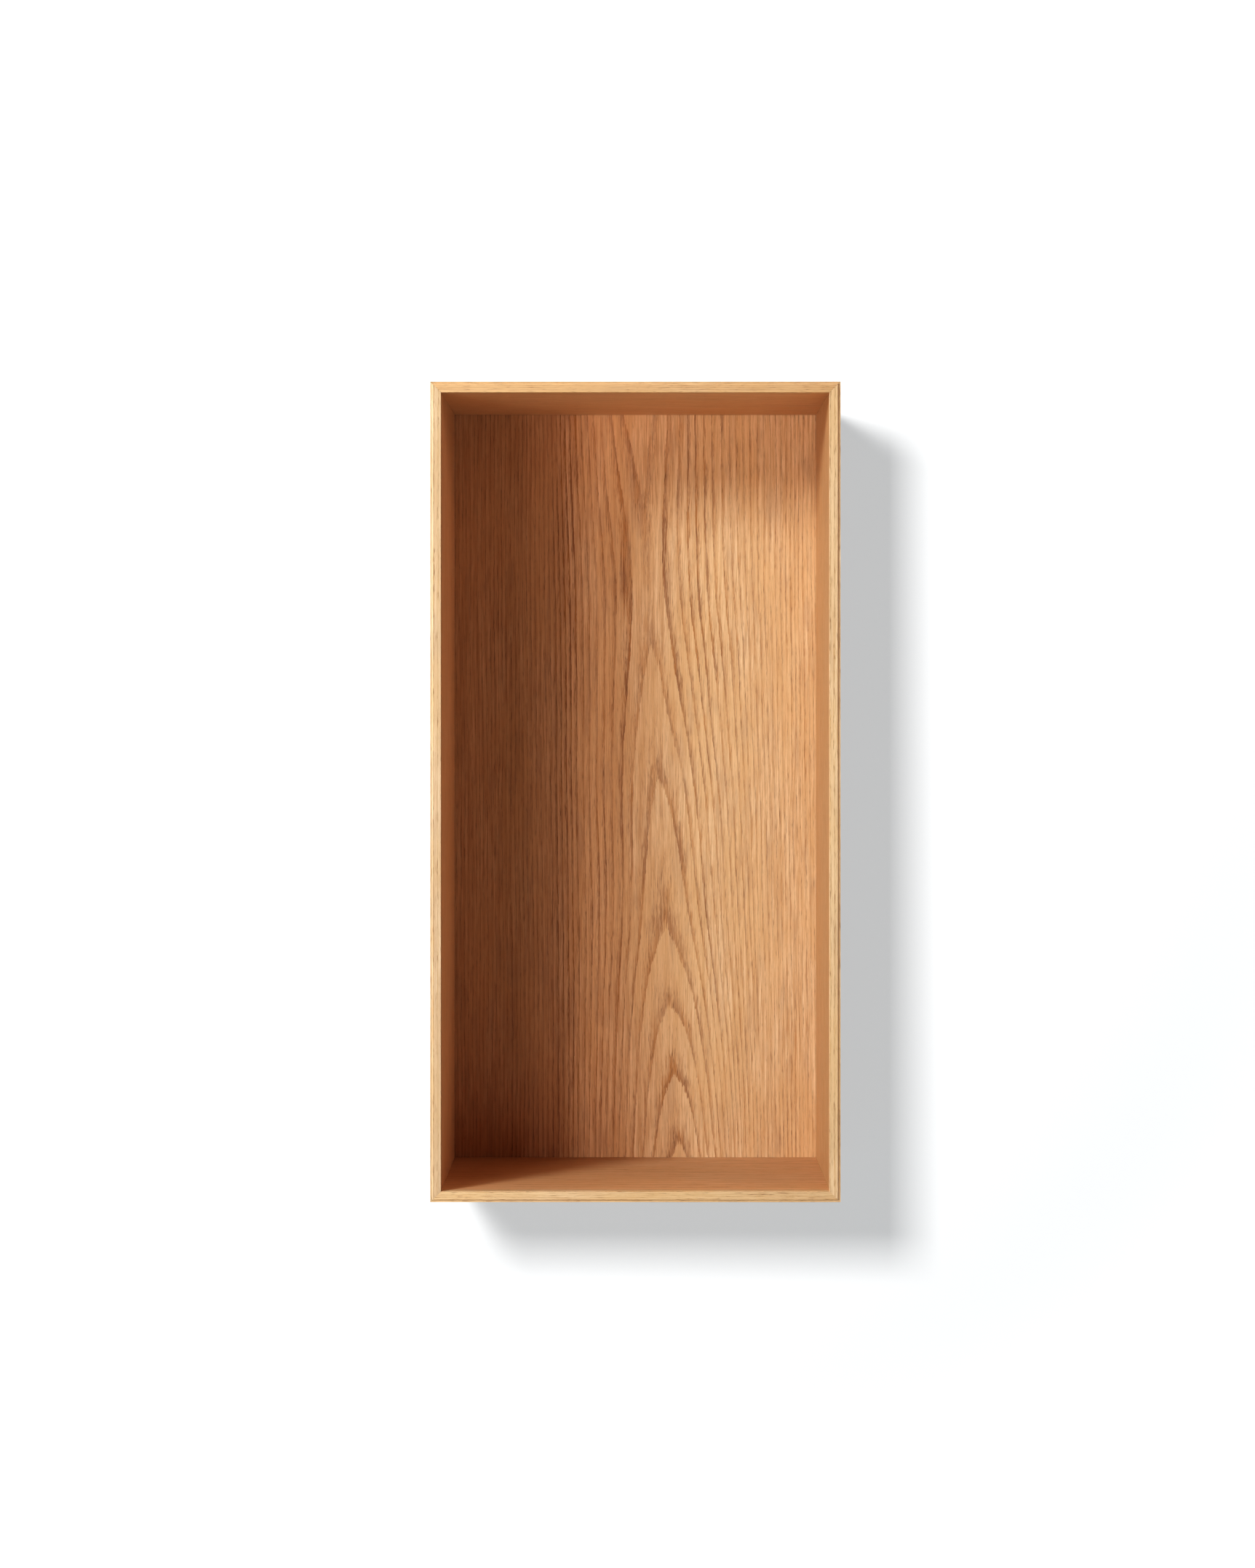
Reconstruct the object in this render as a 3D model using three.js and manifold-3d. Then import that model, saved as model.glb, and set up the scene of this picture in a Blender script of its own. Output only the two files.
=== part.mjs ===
// Wall-hung shadow box: an open-fronted oak case that hooks onto an aluminium rail on the wall.
//
// Millimetres, +Z up. The wall is the plane y = 0 and the open front faces -Y.
// The origin is the centre of the wall rail's back face.

import * as THREE from 'three';
import { mergeVertices } from 'three/addons/utils/BufferGeometryUtils.js';
import Module from 'manifold-3d';

const wasm = await Module();
wasm.setup();

// ---- driving dimensions ----------------------------------------------------------------------

const BOX_WIDTH = 300;
const BOX_HEIGHT = 600;
const FRONT_Y = -150; // front face of the case
const REAR_Y = -1; // rear edges of the case, just clear of the wall
const TOP_Z = 62; // top of the case above the middle of the wall rail
const BOARD = 8; // thickness of the case boards
const GAP = 0.3; // glue line or working clearance between two pieces

const LIPPING_DEPTH = 6;
const STEP_WIDTH = 1.2; // set-back strip along the outer side of the lipping
const STEP_DEPTH = 1;
const STEP_SLOPE = 0.9; // width of the slope between the strip and the front face

const BACK_THICKNESS = 6;
const GROOVE_DEPTH = 3.5;

const SPLINE_THICKNESS = 2;
const SPLINE_WIDTH = 7;
const SPLINE_LENGTH = 108;
const SPLINE_FROM_INNER_CORNER = 4.2; // along the mitre
const SPLINE_FRONT_MARGIN = 6; // behind the lipping

const BATTEN_THICKNESS = 12;
const HANGING_BATTEN_HEIGHT = 46;
const LOWER_BATTEN_HEIGHT = 40;

const RAIL_SPACE = 5; // from the wall to the front of both rails
const RAIL_SHEET = 2; // thickness of both rails
const WALL_RAIL_LENGTH = 240;
const BOX_RAIL_LENGTH = 260;
const WALL_RAIL_BASE = 30; // height of the flat strip on the wall
const HOOK_HEIGHT = 10; // height of the wall rail's hook above its flat strip
const HOOK_CLEARANCE = 2; // room above the wall rail's hook
const BOX_RAIL_BASE = 22; // height of the flat strip on the batten
const RAIL_HOLE_PLACES = [-100, -35, 35, 100];

const WALL_HOLE_RADIUS = 2.3;
const WALL_SINK_RADIUS = 4;
const SCREW_RADIUS = 1.5;
const SCREW_HEAD_RADIUS = 3;
const SCREW_LENGTH = 12;
const SCREW_TIP = 2.5;

const SPACER_RADIUS = 7;
const SPACER_THICKNESS = 5;
const SPACER_PLACE_X = 115;

const ROUND_SEGMENTS = 32;

// ---- worked-out places -----------------------------------------------------------------------

const HALF_WIDTH = BOX_WIDTH / 2;
const BOTTOM_Z = TOP_Z - BOX_HEIGHT;
const CENTRE_Z = TOP_Z - BOX_HEIGHT / 2;
const BOARD_FRONT_Y = FRONT_Y + LIPPING_DEPTH + GAP;
const BATTEN_REAR_Y = -RAIL_SPACE - GAP;
const BATTEN_FRONT_Y = BATTEN_REAR_Y - BATTEN_THICKNESS;
const BACK_REAR_Y = BATTEN_FRONT_Y - GAP;
const BACK_FRONT_Y = BACK_REAR_Y - BACK_THICKNESS;
const INNER_WIDTH = BOX_WIDTH - 2 * BOARD;
const INNER_HEIGHT = BOX_HEIGHT - 2 * BOARD;
const INNER_TOP_Z = TOP_Z - BOARD;
const INNER_BOTTOM_Z = BOTTOM_Z + BOARD;

const SPLINE_INSET = BOARD - SPLINE_FROM_INNER_CORNER / Math.SQRT2; // from both outer faces
const SPLINE_CENTRE_Y = BOARD_FRONT_Y + SPLINE_FRONT_MARGIN + SPLINE_LENGTH / 2;

const HOOK_BASE_Z = WALL_RAIL_BASE / 2; // the box rail rests just above this level
const HOOK_TOP_Z = HOOK_BASE_Z + HOOK_HEIGHT;
const BOX_RAIL_FRONT_Y = -RAIL_SPACE;
const BOX_RAIL_BACK_Y = BOX_RAIL_FRONT_Y + RAIL_SHEET;
const BOX_RAIL_LOW_Z = HOOK_TOP_Z + HOOK_CLEARANCE;
const BOX_RAIL_SCREW_Z = BOX_RAIL_LOW_Z + BOX_RAIL_BASE / 2;
const LOWER_BATTEN_Z = INNER_BOTTOM_Z + GAP + LOWER_BATTEN_HEIGHT / 2;

// ---- materials -------------------------------------------------------------------------------

const matte = (color, roughness) => new THREE.MeshStandardMaterial({ color, roughness, metalness: 0 });
const metal = (color, roughness) => new THREE.MeshStandardMaterial({ color, roughness, metalness: 1 });

const makers = {
  carcaseVeneer: () => matte(0xd9a878, 0.5),
  backVeneer: () => matte(0xdcab7c, 0.5),
  lipping: () => matte(0xe8c49a, 0.5),
  spline: () => matte(0xcfae82, 0.7),
  batten: () => matte(0xd8b88c, 0.7),
  rail: () => metal(0xc4c6c9, 0.4),
  screw: () => metal(0xb8b6b0, 0.3),
  spacer: () => matte(0x3a3a3a, 0.9),
};

// ---- solids ----------------------------------------------------------------------------------

/** A closed three.js geometry as a manifold solid. */
function toSolid(geometry) {
  const bare = geometry.clone();
  bare.deleteAttribute('normal');
  bare.deleteAttribute('uv');
  const merged = mergeVertices(bare, 1e-5);
  const mesh = new wasm.Mesh({
    numProp: 3,
    vertProperties: Float32Array.from(merged.attributes.position.array),
    triVerts: Uint32Array.from(merged.index.array),
  });
  return new wasm.Manifold(mesh);
}

/** A manifold solid back as a three.js geometry. */
function toGeometry(solid) {
  const mesh = solid.getMesh();
  const geometry = new THREE.BufferGeometry();
  geometry.setAttribute('position', new THREE.BufferAttribute(mesh.vertProperties, 3));
  geometry.setIndex(new THREE.BufferAttribute(mesh.triVerts, 1));
  geometry.computeVertexNormals();
  return geometry;
}

/** The geometry with every cutter taken away. */
function cut(geometry, cutters) {
  return toGeometry(cutters.reduce((solid, cutter) => solid.subtract(toSolid(cutter)), toSolid(geometry)));
}

/** A shape from a list of [x, y] corners. */
function outline(corners) {
  return new THREE.Shape(corners.map(([x, y]) => new THREE.Vector2(x, y)));
}

/**
 * A board of the case, mitred at both ends, lying along X with its outer face up at z = 0.
 * Each corner of the section is [distance in from the outer face, y].
 */
function mitredBoard(length, section) {
  const geometry = new THREE.ExtrudeGeometry(outline(section), { depth: 2, bevelEnabled: false });
  geometry.translate(0, 0, -1);
  const position = geometry.attributes.position;
  for (let i = 0; i < position.count; i += 1) {
    const inset = position.getX(i);
    const reach = length / 2 - inset - GAP / Math.SQRT2;
    position.setXYZ(i, Math.sign(position.getZ(i)) * reach, position.getY(i), -inset);
  }
  return geometry;
}

/** The loose tongue of a mitre, or with an allowance all round, the slot for it. */
function tongue(allowance) {
  return new THREE.BoxGeometry(
    SPLINE_WIDTH + 2 * allowance,
    SPLINE_LENGTH + 2 * allowance,
    SPLINE_THICKNESS + 2 * allowance,
  );
}

/** A case board with the back panel's groove and a tongue slot in each mitre. */
function carcaseBoard(length) {
  const board = mitredBoard(length, [
    [0, BOARD_FRONT_Y],
    [BOARD, BOARD_FRONT_Y],
    [BOARD, BACK_FRONT_Y - GAP],
    [BOARD - GROOVE_DEPTH, BACK_FRONT_Y - GAP],
    [BOARD - GROOVE_DEPTH, BACK_REAR_Y + GAP],
    [BOARD, BACK_REAR_Y + GAP],
    [BOARD, REAR_Y],
    [0, REAR_Y],
  ]);
  const slots = [-1, 1].map((end) =>
    tongue(GAP)
      .rotateY(end * Math.PI / 4)
      .translate(end * (length / 2 - SPLINE_INSET), SPLINE_CENTRE_Y, -SPLINE_INSET));
  return cut(board, slots);
}

/** The solid edging in front of a case board. */
function lippingStrip(length) {
  const faceInset = STEP_WIDTH + STEP_SLOPE;
  return mitredBoard(length, [
    [0, FRONT_Y + STEP_DEPTH],
    [STEP_WIDTH, FRONT_Y + STEP_DEPTH],
    [faceInset, FRONT_Y],
    [BOARD, FRONT_Y],
    [BOARD, FRONT_Y + LIPPING_DEPTH],
    [0, FRONT_Y + LIPPING_DEPTH],
  ]);
}

/** A round solid about the Y axis from [radius, y] corners that start and end on the axis. */
function turned(corners) {
  return new THREE.LatheGeometry(corners.map(([r, y]) => new THREE.Vector2(r, y)), ROUND_SEGMENTS);
}

/** A countersunk hole through a rail strip whose open side is at faceY and which runs to -Y or +Y. */
function countersink(holeRadius, sinkRadius, faceY, direction) {
  const sinkDepth = sinkRadius - holeRadius;
  const mouthY = faceY - direction;
  const corners = [
    [0, mouthY],
    [sinkRadius, mouthY],
    [sinkRadius, faceY],
    [holeRadius, faceY + direction * sinkDepth],
    [holeRadius, faceY + direction * (RAIL_SHEET + 1)],
    [0, faceY + direction * (RAIL_SHEET + 1)],
  ];
  return turned(direction > 0 ? corners : corners.reverse());
}

/** A folded rail: a section of [y, z] corners pulled along X. */
function rail(length, section) {
  const geometry = new THREE.ExtrudeGeometry(outline(section), { depth: length, bevelEnabled: false });
  const alongX = new THREE.Matrix4().makeBasis(
    new THREE.Vector3(0, 1, 0),
    new THREE.Vector3(0, 0, 1),
    new THREE.Vector3(1, 0, 0),
  );
  return geometry.applyMatrix4(alongX).translate(-length / 2, 0, 0);
}

/** The rail on the wall, with a hook that points up and stands clear of the wall. */
function wallRail() {
  const low = -WALL_RAIL_BASE / 2;
  const hookBackY = -RAIL_SHEET - 2 * GAP;
  const hookFrontY = hookBackY - RAIL_SHEET;
  const strip = rail(WALL_RAIL_LENGTH, [
    [0, low],
    [0, HOOK_BASE_Z],
    [hookBackY, HOOK_BASE_Z],
    [hookBackY, HOOK_TOP_Z],
    [hookFrontY, HOOK_TOP_Z],
    [hookFrontY, HOOK_BASE_Z - RAIL_SHEET],
    [-RAIL_SHEET, HOOK_BASE_Z - RAIL_SHEET],
    [-RAIL_SHEET, low],
  ]);
  const holes = RAIL_HOLE_PLACES.map((x) =>
    countersink(WALL_HOLE_RADIUS, WALL_SINK_RADIUS, -RAIL_SHEET, 1).translate(x, 0, 0));
  return cut(strip, holes);
}

/** The rail on the box, with a tongue that points down behind the wall rail's hook. */
function boxRail() {
  const tongueBackY = -GAP;
  const tongueFrontY = -GAP - RAIL_SHEET;
  const strip = rail(BOX_RAIL_LENGTH, [
    [tongueBackY, HOOK_BASE_Z + GAP],
    [tongueBackY, BOX_RAIL_LOW_Z + RAIL_SHEET],
    [BOX_RAIL_BACK_Y, BOX_RAIL_LOW_Z + RAIL_SHEET],
    [BOX_RAIL_BACK_Y, BOX_RAIL_LOW_Z + BOX_RAIL_BASE],
    [BOX_RAIL_FRONT_Y, BOX_RAIL_LOW_Z + BOX_RAIL_BASE],
    [BOX_RAIL_FRONT_Y, BOX_RAIL_LOW_Z],
    [tongueFrontY, BOX_RAIL_LOW_Z],
    [tongueFrontY, HOOK_BASE_Z + GAP],
  ]);
  const holes = RAIL_HOLE_PLACES.map((x) =>
    countersink(SCREW_RADIUS + GAP, SCREW_HEAD_RADIUS + GAP, BOX_RAIL_BACK_Y, -1)
      .translate(x, 0, BOX_RAIL_SCREW_Z));
  return cut(strip, holes);
}

/** A countersunk wood screw whose flat head is level with the box rail and which points to -Y. */
function railScrew() {
  const headY = BOX_RAIL_BACK_Y;
  const headHeight = SCREW_HEAD_RADIUS - SCREW_RADIUS;
  const tipY = headY - SCREW_LENGTH;
  return turned([
    [0, tipY],
    [SCREW_RADIUS, tipY + SCREW_TIP],
    [SCREW_RADIUS, headY - headHeight],
    [SCREW_HEAD_RADIUS, headY],
    [0, headY],
  ]);
}

/** The cross rail that carries the box rail, with a blind hole for each screw. */
function hangingBatten() {
  const board = batten(HANGING_BATTEN_HEIGHT, INNER_TOP_Z - GAP - HANGING_BATTEN_HEIGHT / 2);
  const bottomY = BOX_RAIL_BACK_Y - SCREW_LENGTH - GAP;
  const holes = RAIL_HOLE_PLACES.map((x) =>
    turned([
      [0, bottomY],
      [SCREW_RADIUS + GAP, bottomY],
      [SCREW_RADIUS + GAP, BATTEN_REAR_Y + 1],
      [0, BATTEN_REAR_Y + 1],
    ]).translate(x, 0, BOX_RAIL_SCREW_Z));
  return cut(board, holes);
}

/** A plain cross rail between the side boards. */
function batten(height, centreZ) {
  return new THREE.BoxGeometry(INNER_WIDTH - 2 * GAP, BATTEN_THICKNESS, height)
    .translate(0, BATTEN_REAR_Y - BATTEN_THICKNESS / 2, centreZ);
}

/** The board in the groove all round. */
function backPanel() {
  const tongueIn = GROOVE_DEPTH - GAP;
  return new THREE.BoxGeometry(INNER_WIDTH + 2 * tongueIn, BACK_THICKNESS, INNER_HEIGHT + 2 * tongueIn)
    .translate(0, (BACK_FRONT_Y + BACK_REAR_Y) / 2, CENTRE_Z);
}

/** A soft pad between the lower batten and the wall, with an eased rear edge. */
function wallSpacer() {
  const ease = 0.8;
  const frontY = -SPACER_THICKNESS;
  return turned([
    [0, frontY],
    [SPACER_RADIUS, frontY],
    [SPACER_RADIUS, -ease],
    [SPACER_RADIUS - ease, 0],
    [0, 0],
  ]);
}

// ---- assembly --------------------------------------------------------------------------------

const shadowBox = new THREE.Group();

function add(parent, name, geometry, material) {
  const mesh = new THREE.Mesh(geometry, material);
  mesh.name = name;
  parent.add(mesh);
  return mesh;
}

// One turned group for each side of the case holds a board and its lipping.
const sides = [
  { side: 'top', panel: 'top_panel', length: BOX_WIDTH, turn: 0, x: 0, z: TOP_Z },
  { side: 'right', panel: 'right_side_panel', length: BOX_HEIGHT, turn: 1, x: HALF_WIDTH, z: CENTRE_Z },
  { side: 'bottom', panel: 'bottom_panel', length: BOX_WIDTH, turn: 2, x: 0, z: BOTTOM_Z },
  { side: 'left', panel: 'left_side_panel', length: BOX_HEIGHT, turn: 3, x: -HALF_WIDTH, z: CENTRE_Z },
];
for (const { side, panel, length, turn, x, z } of sides) {
  const group = new THREE.Group();
  group.position.set(x, 0, z);
  group.rotation.y = turn * Math.PI / 2;
  add(group, panel, carcaseBoard(length), makers.carcaseVeneer());
  add(group, `${side}_front_lipping`, lippingStrip(length), makers.lipping());
  shadowBox.add(group);
}

// A loose tongue across each of the four mitres.
for (const [across, x] of [['left', -1], ['right', 1]]) {
  for (const [up, z] of [['bottom', -1], ['top', 1]]) {
    const spline = add(shadowBox, `${up}_${across}_spline`, tongue(0), makers.spline());
    spline.rotation.y = x * z * Math.PI / 4;
    spline.position.set(
      x * (HALF_WIDTH - SPLINE_INSET),
      SPLINE_CENTRE_Y,
      CENTRE_Z + z * (BOX_HEIGHT / 2 - SPLINE_INSET),
    );
  }
}

add(shadowBox, 'back_panel', backPanel(), makers.backVeneer());
add(shadowBox, 'hanging_batten', hangingBatten(), makers.batten());
add(shadowBox, 'lower_batten', batten(LOWER_BATTEN_HEIGHT, LOWER_BATTEN_Z), makers.batten());

add(shadowBox, 'wall_rail', wallRail(), makers.rail());
add(shadowBox, 'box_rail', boxRail(), makers.rail());
RAIL_HOLE_PLACES.forEach((x, i) => {
  const screw = add(shadowBox, `box_rail_screw_${i + 1}`, railScrew(), makers.screw());
  screw.position.set(x, 0, BOX_RAIL_SCREW_Z);
});

for (const [across, x] of [['left', -SPACER_PLACE_X], ['right', SPACER_PLACE_X]]) {
  const spacer = add(shadowBox, `${across}_wall_spacer`, wallSpacer(), makers.spacer());
  spacer.position.set(x, 0, LOWER_BATTEN_Z);
}

export default shadowBox;
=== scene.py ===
"""Looks of the wall-hung oak shadow box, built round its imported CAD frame.

Metres, +Z up. The wall is the plane y = 0 and the open front faces -Y. Wood sizes are in millimetres.
"""

import math

import bmesh
import bpy
from mathutils import Matrix, Vector


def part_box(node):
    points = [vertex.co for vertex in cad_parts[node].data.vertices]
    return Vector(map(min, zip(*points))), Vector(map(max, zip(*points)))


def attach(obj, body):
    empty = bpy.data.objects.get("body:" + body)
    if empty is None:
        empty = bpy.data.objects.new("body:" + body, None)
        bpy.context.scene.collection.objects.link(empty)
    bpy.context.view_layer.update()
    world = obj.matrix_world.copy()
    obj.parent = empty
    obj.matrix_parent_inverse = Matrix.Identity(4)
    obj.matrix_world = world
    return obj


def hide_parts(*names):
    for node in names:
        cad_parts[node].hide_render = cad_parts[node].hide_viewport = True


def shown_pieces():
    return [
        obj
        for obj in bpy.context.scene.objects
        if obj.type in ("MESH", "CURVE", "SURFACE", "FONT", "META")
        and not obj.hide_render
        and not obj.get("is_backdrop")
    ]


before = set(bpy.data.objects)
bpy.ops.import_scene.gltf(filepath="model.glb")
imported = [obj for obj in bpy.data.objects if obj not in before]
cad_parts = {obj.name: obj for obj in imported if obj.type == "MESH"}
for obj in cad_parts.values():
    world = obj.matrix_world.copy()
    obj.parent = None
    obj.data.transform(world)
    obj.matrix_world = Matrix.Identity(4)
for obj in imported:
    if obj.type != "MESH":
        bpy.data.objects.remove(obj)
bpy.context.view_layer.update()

# ---- places taken from the frame ---------------------------------------------------------------

MM = 0.001

left_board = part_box("left_side_panel")
top_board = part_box("top_panel")
bottom_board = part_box("bottom_panel")
right_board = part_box("right_side_panel")
lipping_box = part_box("left_front_lipping")
back_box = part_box("back_panel")
spline_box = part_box("top_left_spline")
wall_rail_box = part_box("wall_rail")
box_rail_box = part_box("box_rail")
screw_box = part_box("box_rail_screw_1")

LEFT_X = left_board[0].x
RIGHT_X = right_board[1].x
TOP_Z = top_board[1].z
BOTTOM_Z = bottom_board[0].z
MIDDLE_Z = (TOP_Z + BOTTOM_Z) / 2
BOARD = left_board[1].x - left_board[0].x
BOARD_REAR_Y = left_board[1].y
FRONT_Y = lipping_box[0].y
LIPPING_REAR_Y = lipping_box[1].y
BACK_FRONT_Y = back_box[0].y
BACK_REAR_Y = back_box[1].y

# ---- driving dimensions of the finish ----------------------------------------------------------

GLUE = 0.03 * MM  # taken off each end of a board for the glue line
ARRIS = 0.25 * MM  # eased edge
GROOVE_PLAY = 0.3 * MM
STEP_WIDTH = 1.2 * MM  # set-back strip on the outer side of the lipping
STEP_DEPTH = 1.0 * MM
STEP_SLOPE = 0.9 * MM
VENEER = 0.6 * MM
SPLINE_WIDTH = 7 * MM
SPLINE_THICKNESS = 2 * MM
SPLINE_PLAY = 0.15 * MM
HEAD_RADIUS = 3.0 * MM  # of the box rail's screws
PILOT_RADIUS = 1.7 * MM  # of the holes for their shanks
PILOT_DEPTH = 12.2 * MM
SHEET = 2 * MM  # thickness of both rails
SCREWS = range(1, 5)

CAMERA_DISTANCE = 1.652  # in front of the open front
CAMERA_RISE = 0.060  # above the middle of the box
CAMERA_LENS = 51.9
CAMERA_SHIFT = (-0.005, -0.0473)
DISPLAY_CONTRAST = 1.4

LAMP_DISTANCE = 2.2  # of the studio lamps from the middle of the box
FLOOR_Z = -1.10
STAGE_SIZE = 14.0
CENTRE = Vector((0, FRONT_Y / 2, MIDDLE_Z))  # the middle of the box

# Each side of the case: where its outer face is, and which way inward goes from it.
SIDES = {
    "top": {"panel": "top_panel", "upright": False, "outer": TOP_Z, "inward": -1},
    "bottom": {"panel": "bottom_panel", "upright": False, "outer": BOTTOM_Z, "inward": 1},
    "left": {"panel": "left_side_panel", "upright": True, "outer": LEFT_X, "inward": 1},
    "right": {"panel": "right_side_panel", "upright": True, "outer": RIGHT_X, "inward": -1},
}


# ---- material nodes ----------------------------------------------------------------------------


class Graph:
    """A material's node tree, with one method for each kind of node used here."""

    def __init__(self, name):
        self.material = bpy.data.materials.new(name)
        self.material.use_nodes = True
        self.tree = self.material.node_tree
        self.tree.nodes.clear()

    def feed(self, socket, value):
        if isinstance(value, bpy.types.NodeSocket):
            self.tree.links.new(value, socket)
        else:
            socket.default_value = value

    def node(self, kind, settings, inputs):
        made = self.tree.nodes.new(kind)
        for key, value in settings.items():
            setattr(made, key, value)
        for key, value in inputs.items():
            self.feed(made.inputs[key], value)
        return made

    def math(self, operation, *values):
        return self.node("ShaderNodeMath", {"operation": operation}, dict(enumerate(values))).outputs[0]

    def vector(self, x, y, z):
        return self.node("ShaderNodeCombineXYZ", {}, {"X": x, "Y": y, "Z": z}).outputs[0]

    def noise(self, vector, detail=2.0, roughness=0.5):
        inputs = {"Vector": vector, "Scale": 1.0, "Detail": detail, "Roughness": roughness}
        return self.node("ShaderNodeTexNoise", {"noise_dimensions": "3D"}, inputs).outputs["Fac"]

    def random(self, value):
        made = self.node("ShaderNodeTexWhiteNoise", {"noise_dimensions": "1D"}, {"W": value})
        return made.outputs["Value"]

    def between(self, value, low, high, low_result=0.0, high_result=1.0):
        """value taken from the range low to high, to the range of the results, with soft ends."""
        inputs = {"Value": value, "From Min": low, "From Max": high}
        inputs.update({"To Min": low_result, "To Max": high_result})
        return self.node("ShaderNodeMapRange", {"interpolation_type": "SMOOTHSTEP"}, inputs).outputs[0]

    def mix(self, share, first, second, blend="MIX"):
        settings = {"data_type": "RGBA", "blend_type": blend, "clamp_factor": True}
        made = self.node("ShaderNodeMix", settings, {0: share, 6: first, 7: second})
        return made.outputs[2]

    def curve(self, value, points):
        """A smooth curve through the points, each from 0 to 1 both ways."""
        made = self.node("ShaderNodeFloatCurve", {}, {"Value": value})
        line = made.mapping.curves[0]
        for point in points[1:-1]:
            line.points.new(*point)
        for held, point in zip(line.points, points):
            held.location = point
        made.mapping.update()
        return made.outputs[0]

    def place(self):
        """The three coordinates of the shaded point in millimetres, in the frame's axes."""
        coordinates = self.node("ShaderNodeTexCoord", {}, {}).outputs["Object"]
        scaled = self.node("ShaderNodeVectorMath", {"operation": "SCALE"}, {0: coordinates, "Scale": 1000.0})
        split = self.node("ShaderNodeSeparateXYZ", {}, {0: scaled.outputs[0]})
        return dict(zip("xyz", split.outputs))

    def bump(self, height, depth):
        """A normal from a height of 0 to 1, depth being the real depth in metres."""
        made = self.node("ShaderNodeBump", {}, {"Height": height, "Distance": depth, "Strength": 1.0})
        return made.outputs[0]

    def finish(self, inputs):
        shader = self.node("ShaderNodeBsdfPrincipled", {}, inputs)
        self.node("ShaderNodeOutputMaterial", {}, {"Surface": shader.outputs[0]})
        return self.material


def colour(red, green, blue):
    return (red, green, blue, 1.0)


class Grain:
    """Coordinates in a board: across the grain, along it and deep into the board, in millimetres."""

    def __init__(self, graph, axes, seed):
        self.graph = graph
        place = graph.place()
        self.across, self.along, self.deep = (place[axis] for axis in axes)
        self.seed = seed

    def streaks(self, size_across, size_along, detail=2.0, roughness=0.5, shift=0.0):
        """Noise stretched along the grain, with features of the given sizes."""
        g = self.graph
        vector = g.vector(
            g.math("DIVIDE", self.across, size_across),
            g.math("DIVIDE", self.along, size_along),
            g.math("MULTIPLY_ADD", self.deep, 1.0 / size_across, self.seed * 17.3 + shift),
        )
        return g.noise(vector, detail, roughness)

    def swing(self, size_across, size_along, reach, shift=0.0):
        """A smooth sideways swing of up to about reach millimetres."""
        streaks = self.streaks(size_across, size_along, 1.0, 0.5, shift)
        return self.graph.math("MULTIPLY", self.graph.math("SUBTRACT", streaks, 0.5), 2.0 * reach)


# How dark a growth ring is from its inner side (0) to its outer side (1).
OAK_RING = ((0.0, 0.2), (0.03, 1.0), (0.16, 0.85), (0.28, 0.36), (0.5, 0.12), (0.75, 0.0), (1.0, 0.0))
PINE_RING = ((0.0, 0.05), (0.45, 0.12), (0.78, 0.7), (0.92, 1.0), (1.0, 0.05))

OAK_VENEER = {
    "pale": colour(0.800, 0.560, 0.335),
    "mid": colour(0.610, 0.362, 0.180),
    "gold": colour(0.690, 0.425, 0.208),
    "grey": colour(0.510, 0.315, 0.180),
    "ring": colour(0.380, 0.178, 0.076),
    "rust": colour(0.480, 0.224, 0.078),
    "pore": colour(0.260, 0.120, 0.050),
}
SOLID_OAK = {
    "pale": colour(0.750, 0.545, 0.345),
    "mid": colour(0.620, 0.405, 0.230),
    "gold": colour(0.640, 0.420, 0.220),
    "grey": colour(0.540, 0.370, 0.230),
    "ring": colour(0.440, 0.250, 0.120),
    "rust": colour(0.530, 0.300, 0.120),
    "pore": colour(0.330, 0.165, 0.070),
}
PINE = {
    "pale": colour(0.760, 0.600, 0.380),
    "mid": colour(0.690, 0.500, 0.285),
    "gold": colour(0.680, 0.470, 0.240),
    "grey": colour(0.600, 0.440, 0.270),
    "ring": colour(0.500, 0.280, 0.120),
    "rust": colour(0.560, 0.330, 0.150),
    "pore": colour(0.450, 0.270, 0.130),
}

# Each board's tint against the back's veneer, and each edging's against plain solid oak. The right board
# comes out much darker and browner, the bottom one a little darker.
BOARD_TINT = {
    "left": (1.03, 0.99, 1.0),
    "right": (0.74, 0.62, 0.51),
    "top": (1.05, 0.93, 0.85),
    "bottom": (0.96, 0.82, 0.73),
}
EDGE_TINT = {
    "left": (0.97, 0.97, 0.97),
    "right": (1.13, 1.14, 1.11),
    "top": (1.01, 0.93, 0.82),
    "bottom": (1.08, 1.08, 1.04),
}
UNTINTED = (1.0, 1.0, 1.0)
SHADE_TINT = (0.95, 0.80, 0.71)  # painted shade: the redder, darker left of the back, where the left board's shadow falls

# The figure of the back's leaf, in millimetres across it and up from its middle.
ARCH_AXIS = 18.0
ARCH_LEAN = -0.055  # how far the axis moves across for each step up
ARCH_SHARPNESS = 5.0  # makes the tips of the arches pointed instead of round
STRAND_ACROSS = -55.0
STREAK_ACROSS = -8.0
STREAK_UP = 176.0
STREAK_HALF_WIDTH = 4.5
STREAK_HALF_HEIGHT = 42.0


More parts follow.
